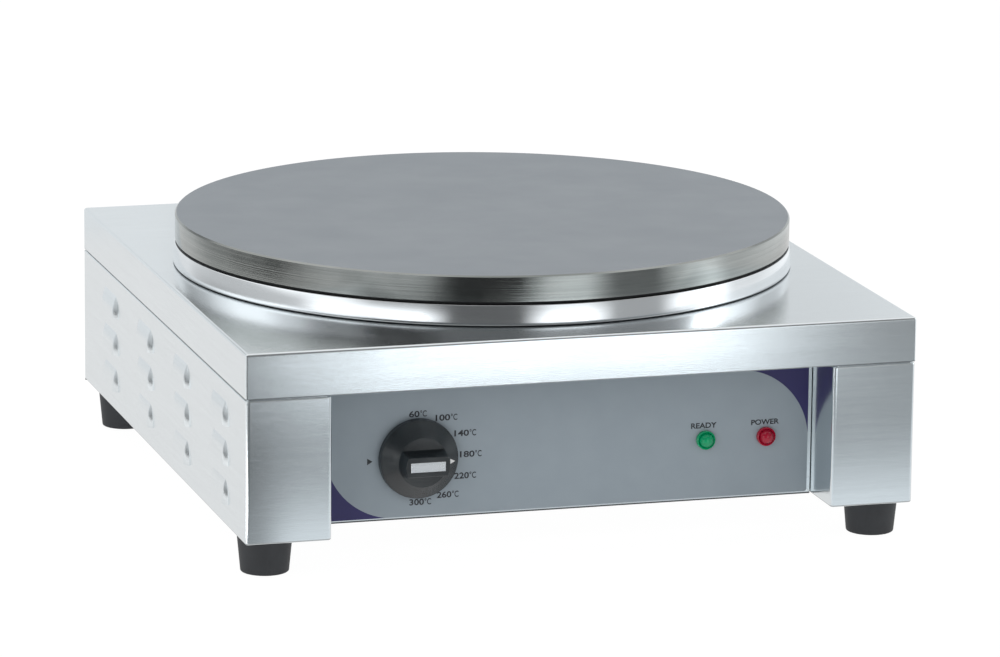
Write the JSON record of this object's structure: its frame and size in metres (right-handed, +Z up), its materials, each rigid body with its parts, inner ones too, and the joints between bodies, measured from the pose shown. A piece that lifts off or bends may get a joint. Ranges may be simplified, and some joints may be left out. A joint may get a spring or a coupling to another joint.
{
  "type": "electric crepe maker",
  "caption": "Countertop crepe maker: round cast iron plate on a square sheet steel body with a recessed control panel, thermostat knob, pilot lamps, side louvres and rubber feet.",
  "frame": {"origin": "on the worktop, under the middle of the whole machine, cable gland included", "axes": "+Z up, +X to the right as seen from the front, -Y to the front, where the control panel is"},
  "size_m": [0.4376, 0.4726, 0.1749],
  "materials": {
    "stainless": "brushed",
    "polished_steel": "polished",
    "plated_steel": "satin",
    "plain_steel": "satin",
    "iron": "matte",
    "overlay": "satin",
    "black_plastic": "satin",
    "bright_insert": "satin",
    "green_lens": "gloss",
    "red_lens": "gloss",
    "black_rubber": "matte",
    "ceramic": "gloss",
    "insulation": "matte",
    "element_sheath": "matte",
    "copper_tube": "satin",
    "brass": "satin",
    "brown_lead": "matte",
    "yellow_lead": "matte"
  },
  "bodies": {
    "machine": {"back_panel": "stainless", "back_screws": "plated_steel", "base_screws": "plated_steel", "bottom_panel": "plated_steel", "bulb_clip": "plain_steel", "bulb_clip_screws": "plated_steel", "capillary_tube": "copper_tube", "control_panel": "stainless", "cover_nuts": "plated_steel", "earth_lead": "yellow_lead", "earth_nuts": "brass", "element_clamp_disc": "plain_steel", "element_leads": "brown_lead", "element_straps": "brass", "element_terminals": "brass", "foot_back_left": "black_rubber", "foot_back_right": "black_rubber", "foot_front_left": "black_rubber", "foot_front_right": "black_rubber", "foot_nuts": "plated_steel", "foot_screws": "plated_steel", "foot_washers": "plated_steel", "front_crossbar": "plain_steel", "gland_body": "black_plastic", "gland_cap": "black_plastic", "gland_locknut": "black_plastic", "gland_seal": "black_rubber", "green_lamp_body": "black_plastic", "green_lamp_lens": "green_lens", "griddle_plate": "iron", "heat_shield": "plated_steel", "inner_heating_element": "element_sheath", "insulation_disc": "insulation", "lamp_leads": "brown_lead", "lamp_nuts": "plated_steel", "left_side_panel": "stainless", "outer_heating_element": "element_sheath", "overheat_cutout": "black_plastic", "panel_overlay": "overlay", "plate_ring": "polished_steel", "plate_studs": "plated_steel", "power_leads": "brown_lead", "rear_crossbar": "plain_steel", "red_lamp_body": "black_plastic", "red_lamp_lens": "red_lens", "right_side_panel": "stainless", "sensing_bulb": "copper_tube", "stud_nuts": "plated_steel", "stud_spacers": "plain_steel", "stud_washers": "plated_steel", "terminal_block": "ceramic", "terminal_block_screws": "plated_steel", "terminal_screws": "plated_steel", "thermostat_body": "black_plastic", "thermostat_screws": "plated_steel", "top_cover": "stainless"},
    "knob": {"thermostat_knob": "black_plastic", "knob_insert": "bright_insert", "thermostat_shaft": "plated_steel"}
  },
  "joints": [
    {"name": "knob_turn", "type": "hinge", "parent": "machine", "child": "knob", "pos_m": [-0.0972, -0.19805, 0.0622], "axis": [0, 1, 0], "range_deg": [-180, 90]}
  ]
}
